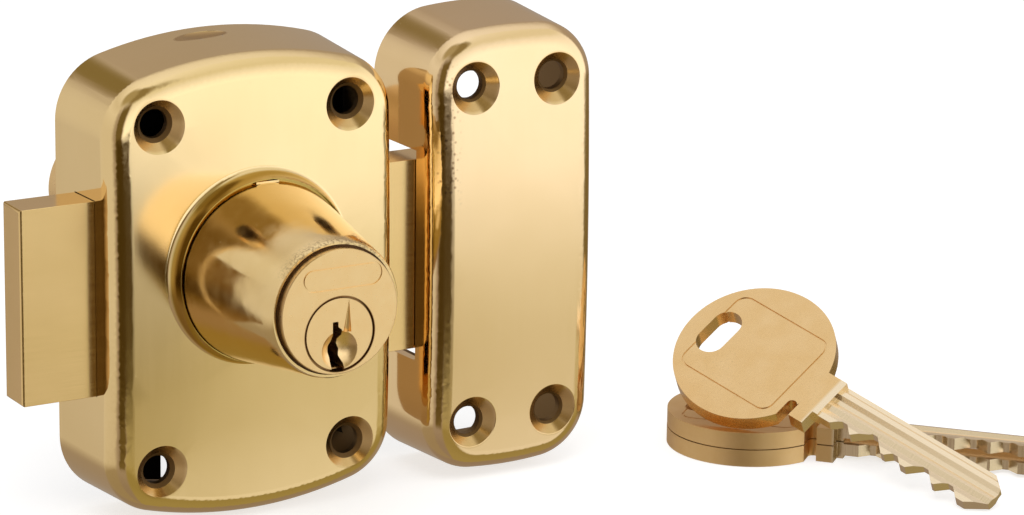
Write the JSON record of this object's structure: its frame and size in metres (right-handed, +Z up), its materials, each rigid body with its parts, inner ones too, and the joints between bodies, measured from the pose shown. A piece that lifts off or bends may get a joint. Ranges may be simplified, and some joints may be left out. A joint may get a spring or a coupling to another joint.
{
  "type": "double cylinder deadbolt",
  "caption": "Surface-mounted deadbolt worked by a key from both sides, with a rack-driven bolt, its keeper and loose keys.",
  "frame": {"origin": "where the common axis of the two cylinder bodies meets the door face", "axes": "+X along the bolt's throw to the keeper, +Y from the room into the door along the cylinders, +Z up"},
  "size_m": [0.1919, 0.1269, 0.089],
  "materials": {
    "polished_brass": "mirror polished and lacquered casting",
    "satin_brass": "finely brushed bar",
    "cylinder_brass": "satin turned",
    "key_brass": "satin stamped",
    "black_steel": "blackened",
    "bright_steel": "zinc plated",
    "grey_steel": "plain steel"
  },
  "bodies": {
    "lock": {"case_shell": "polished_brass", "keeper_shell": "polished_brass", "cylinder_cover": "polished_brass", "cover_ring": "black_steel", "inner_cylinder_body": "cylinder_brass", "outer_cylinder_body": "cylinder_brass", "back_plate": "black_steel", "leaning_key": "key_brass", "upper_key": "key_brass", "lower_key": "key_brass", "inner_drivers": "cylinder_brass", "outer_drivers": "cylinder_brass", "inner_driver_springs": "grey_steel", "outer_driver_springs": "grey_steel", "inner_chamber_caps": "cylinder_brass", "outer_chamber_caps": "cylinder_brass", "inner_cylinder_screws": "bright_steel", "outer_cylinder_screws": "bright_steel", "back_plate_screws": "bright_steel", "upper_guide": "bright_steel", "lower_guide": "bright_steel", "stop_pin": "bright_steel", "friction_spring": "grey_steel", "spring_rivet": "bright_steel"},
    "bolt": {"bolt": "satin_brass"},
    "drive": {"drive_pinion": "grey_steel", "drive_coupling": "grey_steel"},
    "inner_plug": {"inner_plug": "cylinder_brass", "inner_pins": "cylinder_brass", "inner_plug_clip": "grey_steel", "inner_tailpiece": "cylinder_brass"},
    "outer_plug": {"outer_plug": "cylinder_brass", "outer_pins": "cylinder_brass", "outer_plug_clip": "grey_steel", "outer_tailpiece": "cylinder_brass"}
  },
  "joints": [
    {"name": "bolt_throw", "type": "slide", "parent": "lock", "child": "bolt", "axis": [1, 0, 0], "range_m": [-0.01455, 0.01455]},
    {"name": "drive_turn", "type": "hinge", "parent": "lock", "child": "drive", "pos_m": [0, -0.0115, -0.0041], "axis": [0, 1, 0], "range_deg": [-360, 360]},
    {"name": "inner_plug_turn", "type": "hinge", "parent": "lock", "child": "inner_plug", "pos_m": [0, -0.04, -0.0041], "axis": [0, 1, 0], "range_deg": [-360, 360]},
    {"name": "outer_plug_turn", "type": "hinge", "parent": "lock", "child": "outer_plug", "pos_m": [0, 0.02, -0.0041], "axis": [0, 1, 0], "range_deg": [-360, 360]}
  ],
  "couplings": [
    {"joint": "drive_turn", "follows": "bolt_throw", "rad_per_m": 431.03},
    {"joint": "inner_plug_turn", "follows": "bolt_throw", "rad_per_m": 431.03},
    {"joint": "outer_plug_turn", "follows": "bolt_throw", "rad_per_m": 431.03}
  ]
}
